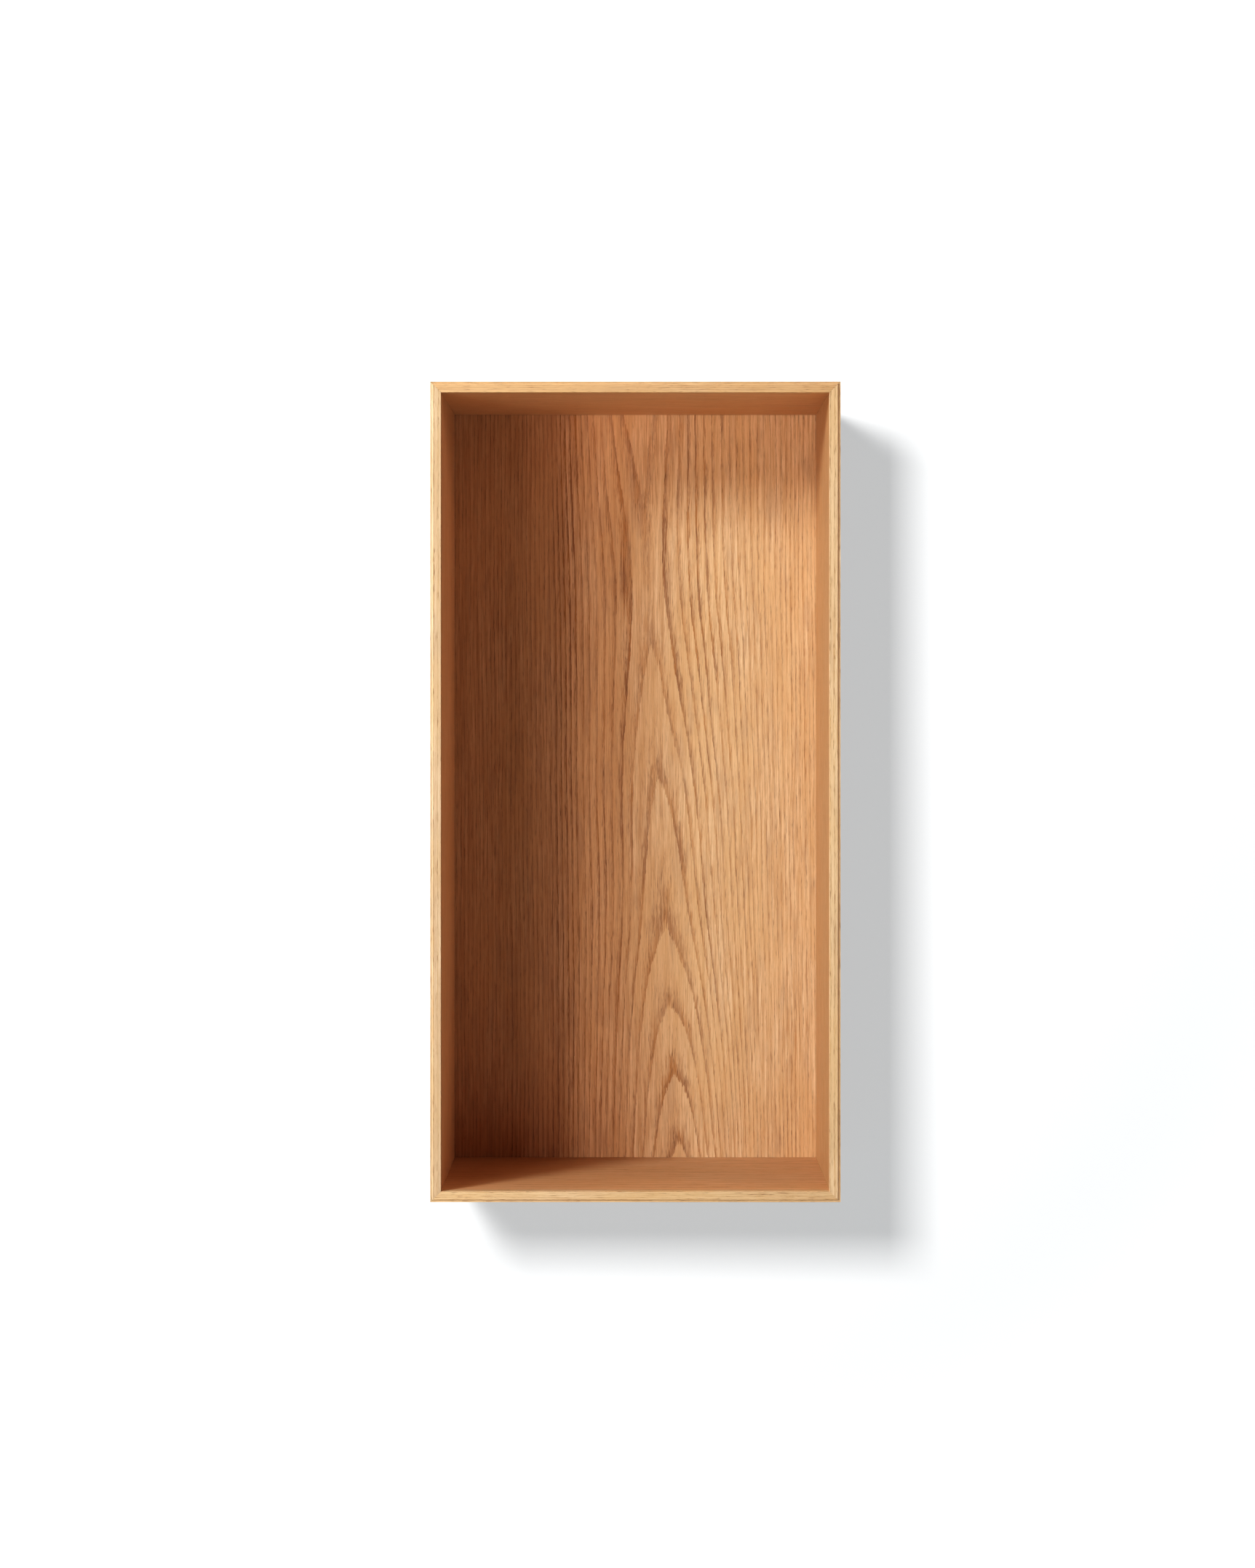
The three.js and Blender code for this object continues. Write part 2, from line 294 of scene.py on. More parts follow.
def rings(grain, pith, spacing, wander):
    """The count of growth rings out from the pith, whose whole numbers are the ring borders.

    The pith is a fixed place far off, or a count of rings below the leaf that changes along it.
    """
    g = grain.graph
    swing = g.math("ADD", grain.swing(45.0, 170.0, wander), grain.swing(9.0, 38.0, 0.16 * wander, 3.1))
    swing = g.math("ADD", swing, grain.swing(3.0, 11.0, 0.1 * wander, 5.9))
    across = g.math("SUBTRACT", g.math("ADD", grain.across, swing), pith["across"])
    if pith["rings_deep"]:
        deep = g.math("MULTIPLY", pith["deep"], spacing)
        across = g.math("ADD", g.math("ABSOLUTE", across), ARCH_SHARPNESS)
    else:
        deep = g.math("ADD", grain.deep, pith["deep"])
    radius = g.math("SQRT", g.math("ADD", g.math("POWER", across, 2.0), g.math("POWER", deep, 2.0)))
    count = g.math("DIVIDE", radius, spacing)
    uneven = g.noise(g.vector(g.math("MULTIPLY", count, 0.37), grain.seed * 3.7, 0.0), 1.0)
    return g.math("ADD", count, g.math("MULTIPLY", g.math("SUBTRACT", uneven, 0.5), 0.9))


def timber(name, axes, palette, pith, seed, spacing=2.4, wander=2.0, ring_shape=OAK_RING, contrast=1.0,
           ragged=0.08, pores=1.0, tint=UNTINTED, roughness=0.46):
    """A lacquered wood, with growth rings, fibres, pores and a slow change of tint.

    axes names the frame's axes across the grain, along it and deep into the board. A pith can also
    bring its own strength of the rings, a dark streak and a painted shade: a redder, darker tint where a
    shadow falls.
    """
    g = Graph(name)
    grain = Grain(g, axes, seed)
    if callable(pith):
        pith = pith(grain)
    fibres = g.between(grain.streaks(0.5, 26.0, 2.0, 0.6, 1.3), 0.27, 0.73)
    dashes = g.between(grain.streaks(0.6, 12.0, 2.0, 0.6, 4.3), 0.3, 0.7)
    bundles = g.between(grain.streaks(2.2, 90.0, 2.0, 0.5, 2.9), 0.3, 0.7)
    patches = g.between(grain.streaks(24.0, 110.0, 1.0, 0.5, 5.1), 0.35, 0.65)
    smears = g.between(grain.streaks(7.0, 46.0, 2.0, 0.5, 8.3), 0.52, 0.72)

    jitter = g.math("MULTIPLY", g.math("SUBTRACT", dashes, 0.5), ragged)
    count = g.math("ADD", rings(grain, pith, spacing, wander), jitter)
    stretch = g.math("MULTIPLY_ADD", dashes, 1.2, 0.5)
    phase = g.math("MINIMUM", g.math("MULTIPLY", g.math("FRACT", count), stretch), 1.0)
    ring = g.curve(phase, ring_shape)
    number = g.math("FLOOR", count)
    own_depth = g.between(g.random(g.math("ADD", number, seed * 11.0)), 0.0, 1.0, 0.7, 1.0)
    along_depth = g.between(grain.streaks(20.0, 80.0, 2.0, 0.5, 7.7), 0.3, 0.7, 0.55, 1.0)
    ring = g.math("MULTIPLY", g.math("MULTIPLY", ring, own_depth), along_depth)
    if "streak" in pith:
        ring = g.math("MULTIPLY", ring, pith["strength"])
        brushed = g.math("MULTIPLY_ADD", fibres, 0.7, 0.3)
        ring = g.math("MAXIMUM", ring, g.math("MULTIPLY", g.between(pith["streak"], 0.15, 0.7), brushed))

    body_share = g.math("MULTIPLY_ADD", fibres, 0.8, g.math("MULTIPLY_ADD", bundles, 0.45, -0.1))
    body_share = g.math("MULTIPLY_ADD", g.math("SUBTRACT", body_share, 0.52), contrast, 0.55)
    body = g.mix(body_share, palette["pale"], palette["mid"])
    body = g.mix(g.math("MULTIPLY", patches, 0.5), body, palette["gold"])
    body = g.mix(g.math("MULTIPLY", smears, 0.3 * contrast), body, palette["grey"])

    ring_share = g.math("MULTIPLY", ring, g.math("MULTIPLY_ADD", fibres, 0.4 * contrast, 0.7 * contrast))
    rusty = g.between(grain.streaks(9.0, 60.0, 1.0, 0.5, 12.1), 0.4, 0.6)
    dark = g.mix(rusty, palette["ring"], palette["rust"])
    wood = g.mix(ring_share, body, dark)

    # Pores are short dashes, thick in the dark side of a ring and thin elsewhere.
    dash = g.between(grain.streaks(0.55, 8.0, 2.0, 0.6, 6.7), 0.52, 0.7)
    pore = g.math("MULTIPLY", dash, g.math("MULTIPLY_ADD", ring, 0.75 * pores, 0.12 * pores))
    wood = g.mix(g.math("MULTIPLY", pore, contrast), wood, palette["pore"])
    # Painted shade: a redder, darker tint over the left of the back, where the left board's shadow falls.
    if "painted_shade" in pith:
        wood = g.mix(pith["painted_shade"], wood, g.mix(1.0, wood, colour(*SHADE_TINT), "MULTIPLY"))
    if tint != UNTINTED:
        wood = g.mix(1.0, wood, colour(*tint), "MULTIPLY")

    height = g.math("MULTIPLY_ADD", fibres, 0.2, 0.8)
    height = g.math("SUBTRACT", height, g.math("MULTIPLY_ADD", pore, 0.5, g.math("MULTIPLY", ring, 0.05)))
    sheen = g.math("MULTIPLY_ADD", pore, 0.25, g.math("MULTIPLY_ADD", fibres, 0.14, roughness - 0.07))
    return g.finish({
        "Base Color": wood,
        "Roughness": sheen,
        "Specular IOR Level": 0.3,
        "Normal": g.bump(height, 0.06 * MM),
    })


def straight(across, deep):
    """Straight grain round a far-off pith at the given places in millimetres."""
    return {"across": across, "deep": deep, "rings_deep": False}


def crown(grain):
    """The pith below a crown-cut leaf: it sinks and rises along the leaf, which draws the pointed arches.

    Each height above the middle of the box has its count of rings between the leaf and the pith.
    """
    g = grain.graph
    first_ring = 42.0  # rings between the pith and the foot of the leaf
    most_rings = 7.0  # range of the curve below, in rings
    flank_rings = 4.0  # the count that the straight lines beside the arches keep
    half_height = 292.0
    arches = (
        (-292, -0.15), (-284, 0), (-223, 1), (-168, 2), (-113, 3),
        (1, 4), (99, 5), (170, 5.4), (243, 5), (292, 4.6),
    )
    height = g.math("SUBTRACT", grain.along, MIDDLE_Z / MM)
    share = g.math("MULTIPLY_ADD", height, 0.5 / half_height, 0.5)
    points = [((z / half_height + 1) / 2, (count + 1) / most_rings) for z, count in arches]
    count = g.math("MULTIPLY_ADD", g.curve(share, points), most_rings, -1.0)
    off_axis = g.math("ABSOLUTE", g.math("SUBTRACT", grain.across, ARCH_AXIS))
    nearness = g.between(off_axis, 20.0, 110.0, 1.0, 0.1)
    count = g.math("ADD", count, grain.swing(26.0, 120.0, 0.2, 9.4))
    swell = g.math("SUBTRACT", count, flank_rings)
    count = g.math("MULTIPLY_ADD", swell, nearness, first_ring + flank_rings)
    axis = g.math("MULTIPLY_ADD", g.math("MULTIPLY", height, nearness), ARCH_LEAN, ARCH_AXIS)
    # The lines are faint away from the arches, apart from a dark strand to the left.
    fade = g.between(off_axis, 25.0, 75.0, 1.0, 0.62)
    off_strand = g.math("ABSOLUTE", g.math("SUBTRACT", grain.across, STRAND_ACROSS))
    strand = g.between(off_strand, 4.0, 14.0, 0.8, 0.0)
    # A slim dark streak stands beside the top arch.
    streak_across = g.math("DIVIDE", g.math("SUBTRACT", grain.across, STREAK_ACROSS), STREAK_HALF_WIDTH)
    streak_along = g.math("DIVIDE", g.math("SUBTRACT", height, STREAK_UP), STREAK_HALF_HEIGHT)
    off_streak = g.math("ADD", g.math("POWER", streak_across, 2.0), g.math("POWER", streak_along, 2.0))
    return {
        "across": axis,
        "deep": count,
        "rings_deep": True,
        "strength": g.math("ADD", fade, strand),
        "streak": g.math("EXPONENT", g.math("MULTIPLY", off_streak, -1.0)),
        # Painted shade: full on the left of the back, in the left board's shadow, and gone towards the
        # right.
        "painted_shade": g.between(grain.across, -90.0, 80.0, 1.0, 0.0),
    }


def board_core(name, axis, middle, seed):
    """The cut edge of a veneered board: a fine fibre core with a line of veneer on each side."""
    g = Graph(name)
    place = g.place()
    speck = g.noise(g.vector(*(g.math("DIVIDE", place[a], 0.8) for a in "xyz")), 4.0, 0.7)
    cloud = g.noise(g.vector(*(g.math("MULTIPLY_ADD", place[a], 0.09, seed) for a in "xyz")), 2.0)
    core = g.mix(g.between(speck, 0.3, 0.7), colour(0.36, 0.24, 0.14), colour(0.50, 0.36, 0.22))
    core = g.mix(g.between(cloud, 0.35, 0.7, 0.0, 0.3), core, colour(0.33, 0.21, 0.12))
    off_middle = g.math("ABSOLUTE", g.math("SUBTRACT", place[axis], middle / MM))
    veneer_starts = (BOARD / 2 - VENEER) / MM
    in_veneer = g.between(off_middle, veneer_starts - 0.05, veneer_starts + 0.05)
    edge = g.mix(in_veneer, core, colour(0.60, 0.38, 0.20))
    return g.finish({
        "Base Color": edge,
        "Roughness": g.between(speck, 0.2, 0.8, 0.62, 0.8),
        "Specular IOR Level": 0.25,
        "Normal": g.bump(speck, 0.05 * MM),
    })


def extruded_aluminium(name, seed):
    """Natural anodised aluminium with faint lines along the extrusion."""
    g = Graph(name)
    place = g.place()
    lines = g.noise(g.vector(
        g.math("MULTIPLY_ADD", place["x"], 0.004, seed),
        g.math("DIVIDE", place["y"], 0.22),
        g.math("DIVIDE", place["z"], 0.22),
    ), 3.0, 0.6)
    cloud = g.noise(g.vector(*(g.math("MULTIPLY_ADD", place[a], 0.05, seed) for a in "xyz")), 3.0)
    tint = g.mix(g.between(lines, 0.3, 0.7), colour(0.58, 0.585, 0.595), colour(0.69, 0.695, 0.705))
    tint = g.mix(g.between(cloud, 0.4, 0.7, 0.0, 0.35), tint, colour(0.55, 0.555, 0.57))
    return g.finish({
        "Base Color": tint,
        "Metallic": 1.0,
        "Roughness": g.math("MULTIPLY_ADD", lines, 0.12, g.math("MULTIPLY_ADD", cloud, 0.14, 0.26)),
        "Normal": g.bump(lines, 0.015 * MM),
    })


def zinc_plate(name, seed):
    """Bright zinc plate with a fine grain and a little blue and yellow haze."""
    g = Graph(name)
    place = g.place()
    cloud = g.noise(g.vector(*(g.math("MULTIPLY_ADD", place[a], 0.7, seed) for a in "xyz")), 3.0)
    speck = g.noise(g.vector(*(g.math("DIVIDE", place[a], 0.12) for a in "xyz")), 3.0, 0.6)
    tint = g.mix(g.between(cloud, 0.35, 0.65), colour(0.66, 0.67, 0.70), colour(0.76, 0.73, 0.64))
    return g.finish({
        "Base Color": tint,
        "Metallic": 1.0,
        "Roughness": g.between(speck, 0.25, 0.75, 0.2, 0.42),
        "Normal": g.bump(speck, 0.008 * MM),
    })


def soft_rubber(name, seed):
    """Dark moulded rubber with a fine matt grain and a bloom of dust."""
    g = Graph(name)
    place = g.place()
    speck = g.noise(g.vector(*(g.math("DIVIDE", place[a], 0.25) for a in "xyz")), 3.0, 0.6)
    dust = g.noise(g.vector(*(g.math("MULTIPLY_ADD", place[a], 0.25, seed) for a in "xyz")), 3.0)
    dusty = g.between(dust, 0.4, 0.75, 0.0, 0.5)
    tint = g.mix(dusty, colour(0.022, 0.022, 0.024), colour(0.07, 0.068, 0.065))
    return g.finish({
        "Base Color": tint,
        "Roughness": g.between(speck, 0.25, 0.75, 0.68, 0.9),
        "Specular IOR Level": 0.35,
        "Normal": g.bump(speck, 0.03 * MM),
    })


# ---- meshes ------------------------------------------------------------------------------------


def new_piece(name, mesh_data, materials):
    """An object from a bmesh, with its faces pointing out."""
    bmesh.ops.remove_doubles(mesh_data, verts=mesh_data.verts, dist=1e-7)
    bmesh.ops.recalc_face_normals(mesh_data, faces=mesh_data.faces)
    mesh = bpy.data.meshes.new(name)
    mesh_data.to_mesh(mesh)
    mesh_data.free()
    for material in materials:
        mesh.materials.append(material)
    piece = bpy.data.objects.new(name, mesh)
    bpy.context.scene.collection.objects.link(piece)
    return piece


def eased(corners, steps=3):
    """A closed outline with round corners. Each corner is (a, b, ease), ease being the length taken off."""
    outline = []
    for i, (a, b, ease) in enumerate(corners):
        corner = Vector((a, b))
        if ease == 0:
            outline.append(corner)
            continue
        before = Vector(corners[i - 1][:2])
        after = Vector(corners[(i + 1) % len(corners)][:2])
        start = corner + (before - corner).normalized() * ease
        end = corner + (after - corner).normalized() * ease
        for step in range(steps + 1):
            t = step / steps
            outline.append(start * (1 - t) ** 2 + corner * 2 * t * (1 - t) + end * t ** 2)
    return outline


def skin(mesh_data, rings_of_points):
    """Faces between rings of points with the same count, and over the first and the last ring."""
    rows = [[mesh_data.verts.new(point) for point in ring] for ring in rings_of_points]
    count = len(rows[0])
    for low, high in zip(rows, rows[1:]):
        for i in range(count):
            after = (i + 1) % count
            mesh_data.faces.new((low[i], low[after], high[after], high[i]))
    mesh_data.faces.new(rows[0][::-1])
    mesh_data.faces.new(rows[-1])


def even_normals(piece):
    """Smooth shading over the eased edges while the flat faces stay flat."""
    piece.data.shade_smooth()
    piece.data.set_sharp_from_angle(angle=math.radians(40))
    weighted = piece.modifiers.new("even_normals", "WEIGHTED_NORMAL")
    weighted.keep_sharp = True


def case_point(side, run, inset, y):
    """A point of the case: run along the side from its middle, inset from its outer face."""
    spec = SIDES[side]
    level = spec["outer"] + spec["inward"] * inset
    if spec["upright"]:
        return Vector((level, y, MIDDLE_Z + run))
    return Vector((run, y, level))


def half_length(side):
    """Half the outer length of a side of the case."""
    return (TOP_Z - BOTTOM_Z if SIDES[side]["upright"] else RIGHT_X - LEFT_X) / 2


def mitred_length(name, side, outline, materials):
    """A board or an edging along one side of the case, mitred at both ends."""
    reach = half_length(side)
    mesh_data = bmesh.new()
    ends = []
    for end in (-1, 1):
        ends.append([case_point(side, end * (reach - inset - GLUE), inset, y) for inset, y in outline])
    skin(mesh_data, ends)
    return new_piece(name, mesh_data, materials)


def block(name, low, high, ease, materials):
    """A straight-edged block with eased edges."""
    mesh_data = bmesh.new()
    bmesh.ops.create_cube(mesh_data, size=1.0)
    for vertex in mesh_data.verts:
        for axis in range(3):
            vertex.co[axis] = high[axis] if vertex.co[axis] > 0 else low[axis]
    bmesh.ops.bevel(mesh_data, geom=mesh_data.edges[:], offset=ease, segments=3, profile=0.5, affect="EDGES")
    return new_piece(name, mesh_data, materials)


def carve(piece, cutters):
    """Takes every cutter away from the piece."""
    for i, cutter in enumerate(cutters):
        cut = piece.modifiers.new(f"cut_{i}", "BOOLEAN")
        cut.operation = "DIFFERENCE"
        cut.solver = "EXACT"
        cut.object = cutter
    bpy.context.view_layer.update()
    evaluated = piece.evaluated_get(bpy.context.evaluated_depsgraph_get())
    carved = bpy.data.meshes.new_from_object(evaluated)
    piece.modifiers.clear()
    piece.data = carved
    for cutter in cutters:
        bpy.data.objects.remove(cutter)


def turned(name, profile, centre, materials, segments=48):
    """A round piece about an axis along Y. The profile is (radius, y) from end to end, off the axis."""
    mesh_data = bmesh.new()
    rows = []
    for radius, y in profile:
        row = []
        for i in range(segments):
            angle = 2 * math.pi * i / segments
            row.append(centre + Vector((radius * math.cos(angle), y, radius * math.sin(angle))))
        rows.append(row)
    skin(mesh_data, rows)
    return new_piece(name, mesh_data, materials)


def stands_for(piece, node, body="box"):
    """The piece takes the place of a CAD node."""
    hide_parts(node)
    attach(piece, body)


# ---- the case ----------------------------------------------------------------------------------


def spline_slot(side, end):
    """The slot for a loose tongue in one mitre of a board."""
    width = SPLINE_WIDTH + 2 * SPLINE_PLAY
    thick = SPLINE_THICKNESS + 2 * SPLINE_PLAY
    length = spline_box[1].y - spline_box[0].y + 2 * SPLINE_PLAY
    inset = (spline_box[0].x + spline_box[1].x) / 2 - LEFT_X
    middle_y = (spline_box[0].y + spline_box[1].y) / 2
    centre = case_point(side, end * (half_length(side) - inset), inset, middle_y)
    across_case = 1 if centre.x > 0 else -1
    up_case = 1 if centre.z > MIDDLE_Z else -1
    mesh_data = bmesh.new()
    bmesh.ops.create_cube(mesh_data, size=1.0)
    bmesh.ops.scale(mesh_data, vec=(width, length, thick), verts=mesh_data.verts)
    turn = Matrix.Rotation(across_case * up_case * math.pi / 4, 3, "Y")
    bmesh.ops.rotate(mesh_data, matrix=turn, verts=mesh_data.verts)
    bmesh.ops.translate(mesh_data, vec=centre, verts=mesh_data.verts)
    return new_piece(f"{side}_slot_{end}", mesh_data, [])


def mark_core_faces(piece):
    """The rear edge, the groove, the mitres and the slots show the core, and the two wide faces don't."""
    wide_area = 0.01
    for face in piece.data.polygons:
        normal = Vector(map(abs, face.normal))
        wide = max(normal.x, normal.z) > 0.99 and face.area > wide_area
        small_arris = normal.y < 0.97 and face.area < wide_area and max(normal.x, normal.z) < 0.99
        diagonal = abs(normal.x - normal.z) < 0.01 and normal.y < 0.01
        in_groove = BACK_FRONT_Y - 2 * GROOVE_PLAY < face.center.y < BACK_REAR_Y + 2 * GROOVE_PLAY
        face.material_index = 0 if (wide and not in_groove) or (small_arris and not diagonal) else 1


def make_board(side):
    """A veneered board of the case with the back panel's groove and the tongue slots."""
    spec = SIDES[side]
    groove_in = BOARD - (back_box[0].x - LEFT_X) + GROOVE_PLAY
    front = LIPPING_REAR_Y + 2 * GLUE
    outline = eased([
        (0, front, 0),
        (BOARD, front, 0),
        (BOARD, BACK_FRONT_Y - GROOVE_PLAY, 0),
        (BOARD - groove_in, BACK_FRONT_Y - GROOVE_PLAY, 0),
        (BOARD - groove_in, BACK_REAR_Y + GROOVE_PLAY, 0),
        (BOARD, BACK_REAR_Y + GROOVE_PLAY, 0),
        (BOARD, BOARD_REAR_Y, ARRIS),
        (0, BOARD_REAR_Y, ARRIS),
    ])
    upright = spec["upright"]
    number = list(SIDES).index(side) + 1
    veneer = timber(
        f"oak_veneer_{side}",
        "yzx" if upright else "yxz",
        OAK_VENEER,
        straight(-310.0 + 23.0 * number, 40.0 * number),
        seed=number,
        wander=1.4,
        contrast=0.5,
        tint=BOARD_TINT[side],
    )
    middle = spec["outer"] + spec["inward"] * BOARD / 2
    core = board_core(f"board_core_{side}", "x" if upright else "z", middle, number)
    board = mitred_length(spec["panel"] + "_veneered", side, outline, [veneer, core])
    carve(board, [spline_slot(side, end) for end in (-1, 1)])
    mark_core_faces(board)
    even_normals(board)
    stands_for(board, spec["panel"])


def make_lipping(side):
    """The solid oak edging, with a set-back strip and a slope on its outer side."""
    face_inset = STEP_WIDTH + STEP_SLOPE
    outline = eased([
        (0, LIPPING_REAR_Y, 0),
        (0, FRONT_Y + STEP_DEPTH, 0.6 * ARRIS),
        (STEP_WIDTH, FRONT_Y + STEP_DEPTH, 0.3 * ARRIS),
        (face_inset, FRONT_Y, 0.6 * ARRIS),
        (BOARD, FRONT_Y, ARRIS),
        (BOARD, LIPPING_REAR_Y, 0),
    ])
    number = list(SIDES).index(side) + 1
    upright = SIDES[side]["upright"]
    wood = timber(
        f"solid_oak_{side}",
        "xzy" if upright else "zxy",
        SOLID_OAK,
        straight(90.0 * (-1) ** number + (0 if upright else MIDDLE_Z / MM), 240.0 + 8 * number),
        seed=number + 0.5,
        spacing=1.3,
        wander=1.2,
        contrast=0.9,
        pores=1.7,
        tint=EDGE_TINT[side],
    )
    lipping = mitred_length(f"{side}_lipping_oak", side, outline, [wood])
    even_normals(lipping)
    stands_for(lipping, f"{side}_front_lipping")


def make_back():
    """The back board: a crown-cut leaf on the front, and a plainer backing veneer behind."""
    leaf = timber("oak_crown_leaf", "xzy", OAK_VENEER, crown, seed=2.0, contrast=1.15)
    backing = timber("oak_backing_leaf", "xzy", OAK_VENEER, straight(-420.0, 130.0), seed=8.0, spacing=3.4,
                     contrast=0.8, roughness=0.6)
    panel = block("back_panel_veneered", *back_box, ARRIS, [leaf, backing])
    for face in panel.data.polygons:
        face.material_index = 0 if face.normal.y < -0.5 else 1
    even_normals(panel)
    stands_for(panel, "back_panel")


def finish_splines():
    """The hidden tongues keep their CAD shape and get a plywood finish."""
    for number, node in enumerate(n for n in sorted(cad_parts) if n.endswith("_spline")):
        plywood = timber(f"plywood_{node}", "xyz", PINE, straight(60.0, 90.0), seed=number + 4.0, pores=0.3,
                         ring_shape=PINE_RING, roughness=0.6)
        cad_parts[node].data.materials.clear()
        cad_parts[node].data.materials.append(plywood)


# ---- behind the back panel ---------------------------------------------------------------------


def screw_centre(number):
    """The middle of the rear face of a screw's head."""
    low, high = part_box(f"box_rail_screw_{number}")
    return Vector(((low.x + high.x) / 2, high.y, (low.z + high.z) / 2))


def round_cutter(name, profile, centre):
    """A turned cutter without a material."""
    return turned(name, profile, centre, [], 40)


def make_battens():
    """Two planed softwood cross rails. The upper one has the screws' pilot holes."""
    for node, seed in (("hanging_batten", 11.0), ("lower_batten", 13.0)):
        low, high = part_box(node)
        pine = timber(f"pine_{node}", "zxy", PINE, straight(low.z / MM - 35.0, 46.0), seed=seed, spacing=3.6,
                      wander=1.6, ring_shape=PINE_RING, ragged=0.1, pores=0.12, roughness=0.62)
        batten = block(f"{node}_planed", low, high, 4 * ARRIS, [pine])
        if node == "hanging_batten":
            holes = []
            for number in SCREWS:
                profile = [(PILOT_RADIUS, -PILOT_DEPTH), (PILOT_RADIUS, 0.0)]
                holes.append(round_cutter(f"pilot_{number}", profile, screw_centre(number)))
            carve(batten, holes)
        even_normals(batten)
        stands_for(batten, node)


def pulled(name, corners, reach, materials):
    """A folded strip: an eased (y, z) outline pulled along X, from -reach to reach."""
    mesh_data = bmesh.new()
    outline = eased(corners)
    skin(mesh_data, [[Vector((x, y, z)) for y, z in outline] for x in (-reach, reach)])
    return new_piece(name, mesh_data, materials)


def make_rails():
    """The wall rail and the box rail, whose hooks grip behind each other."""
    edge = 0.35 * MM
    fold = 0.2 * MM  # inner corner of a fold
    groove = 0.3 * MM  # drilling line pressed into each strip
    through = 1 * MM  # how far a cutter reaches past the strip

    low, high = wall_rail_box
    hook_front = low.y
    hook_back = low.y + SHEET
    hook_level = high.z - 10 * MM
    wall_corners = [
        (0, low.z, edge),
        (0, hook_level, edge),
        (hook_back, hook_level, fold),
        (hook_back, high.z, edge),
        (hook_front, high.z, edge),
        (hook_front, hook_level - SHEET, edge),
        (-SHEET, hook_level - SHEET, fold),
        (-SHEET, groove, 0),
        (groove - SHEET, 0, 0),
        (-SHEET, -groove, 0),
        (-SHEET, low.z, edge),
    ]
    metal = extruded_aluminium("anodised_wall_rail", 1.0)
    wall_rail = pulled("wall_rail_extruded", wall_corners, high.x, [metal])
    sink_radius = 4.0 * MM
    hole_radius = 2.3 * MM
    holes = []
    for number in SCREWS:
        centre = Vector((screw_centre(number).x, 0, 0))
        sink = [(sink_radius, -SHEET - through), (sink_radius, -SHEET), (hole_radius, -0.3 * MM),
                (hole_radius, through)]
        holes.append(round_cutter(f"wall_hole_{number}", sink, centre))
    carve(wall_rail, holes)
    even_normals(wall_rail)
    stands_for(wall_rail, "wall_rail", "wall_mount")

    low, high = box_rail_box
    tongue_back = high.y
    tongue_front = high.y - SHEET
    strip_low = high.z - 22 * MM
    level = screw_centre(1).z
    strip_back = low.y + SHEET
    box_corners = [
        (tongue_back, low.z, edge),
        (tongue_back, strip_low + SHEET, edge),
        (strip_back, strip_low + SHEET, fold),
        (strip_back, level - groove, 0),
        (strip_back - groove, level, 0),
        (strip_back, level + groove, 0),
        (strip_back, high.z, edge),
        (low.y, high.z, edge),
        (low.y, strip_low, edge),
        (tongue_front, strip_low, fold),
        (tongue_front, low.z, edge),
    ]
    metal = extruded_aluminium("anodised_box_rail", 5.0)
    box_rail = pulled("box_rail_extruded", box_corners, high.x, [metal])
    sink_radius = HEAD_RADIUS + 0.2 * MM
    holes = []
    for number in SCREWS:
        sink = [(PILOT_RADIUS, -SHEET - through), (PILOT_RADIUS, -1.5 * MM), (sink_radius, 0),
                (sink_radius, through)]
        holes.append(round_cutter(f"rail_hole_{number}", sink, screw_centre(number)))
    carve(box_rail, holes)
    even_normals(box_rail)
    stands_for(box_rail, "box_rail")


def cross_recess(centre, turn):
    """Two tapered blades that cut a cross into a screw head."""
    blades = []
    for quarter in (0, 1):
        mesh_data = bmesh.new()
        bmesh.ops.create_cube(mesh_data, size=1.0)
        for vertex in mesh_data.verts:
            outer = vertex.co.y > 0
            vertex.co.x = math.copysign((1.75 if outer else 0.7) * MM, vertex.co.x)
            vertex.co.z = math.copysign((0.42 if outer else 0.26) * MM, vertex.co.z)
            vertex.co.y = 0.3 * MM if outer else -1.6 * MM
        spin = Matrix.Rotation(turn + quarter * math.pi / 2, 3, "Y")
        bmesh.ops.rotate(mesh_data, matrix=spin, verts=mesh_data.verts)
        bmesh.ops.translate(mesh_data, vec=centre, verts=mesh_data.verts)
        blades.append(new_piece(f"blade_{quarter}", mesh_data, []))
    return blades


def make_screw(number):
    """A countersunk wood screw with a cross recess and a rolled thread."""
    core_radius = 1.05 * MM
    thread_radius = 1.5 * MM
    neck = 2.0 * MM  # below the head, where the thread starts
    length = screw_box[1].y - screw_box[0].y
    taper = 2.6 * MM
    pitch = 1.3 * MM
    points_round = 28
    rows = []
    levels = [(HEAD_RADIUS, 0.0), (HEAD_RADIUS, -0.15 * MM), (1.35 * MM, -1.75 * MM), (1.2 * MM, -neck)]
    for radius, y in levels:
        rows.append([(radius, y)] * points_round)
    steps = 72
    for step in range(1, steps + 1):
        down = neck + (length - neck) * step / steps
        slim = min(1.0, (length - down) / taper + 0.04)
        row = []
        for i in range(points_round):
            phase = (down / pitch - i / points_round) % 1.0
            crest = max(0.0, 1.0 - abs(phase - 0.5) / 0.22)
            radius = (core_radius + (thread_radius - core_radius) * crest) * slim
            row.append((radius, -down))
        rows.append(row)
    centre = screw_centre(number)
    points = []
    for row in rows:
        ring = []
        for i, (radius, y) in enumerate(row):
            angle = 2 * math.pi * i / points_round
            ring.append(centre + Vector((radius * math.cos(angle), y, radius * math.sin(angle))))
        points.append(ring)
    mesh_data = bmesh.new()
    skin(mesh_data, points)
    screw = new_piece(f"box_rail_screw_{number}_threaded", mesh_data, [zinc_plate(f"zinc_{number}", number)])
    carve(screw, cross_recess(centre, 0.5 * number))
    even_normals(screw)
    stands_for(screw, f"box_rail_screw_{number}")


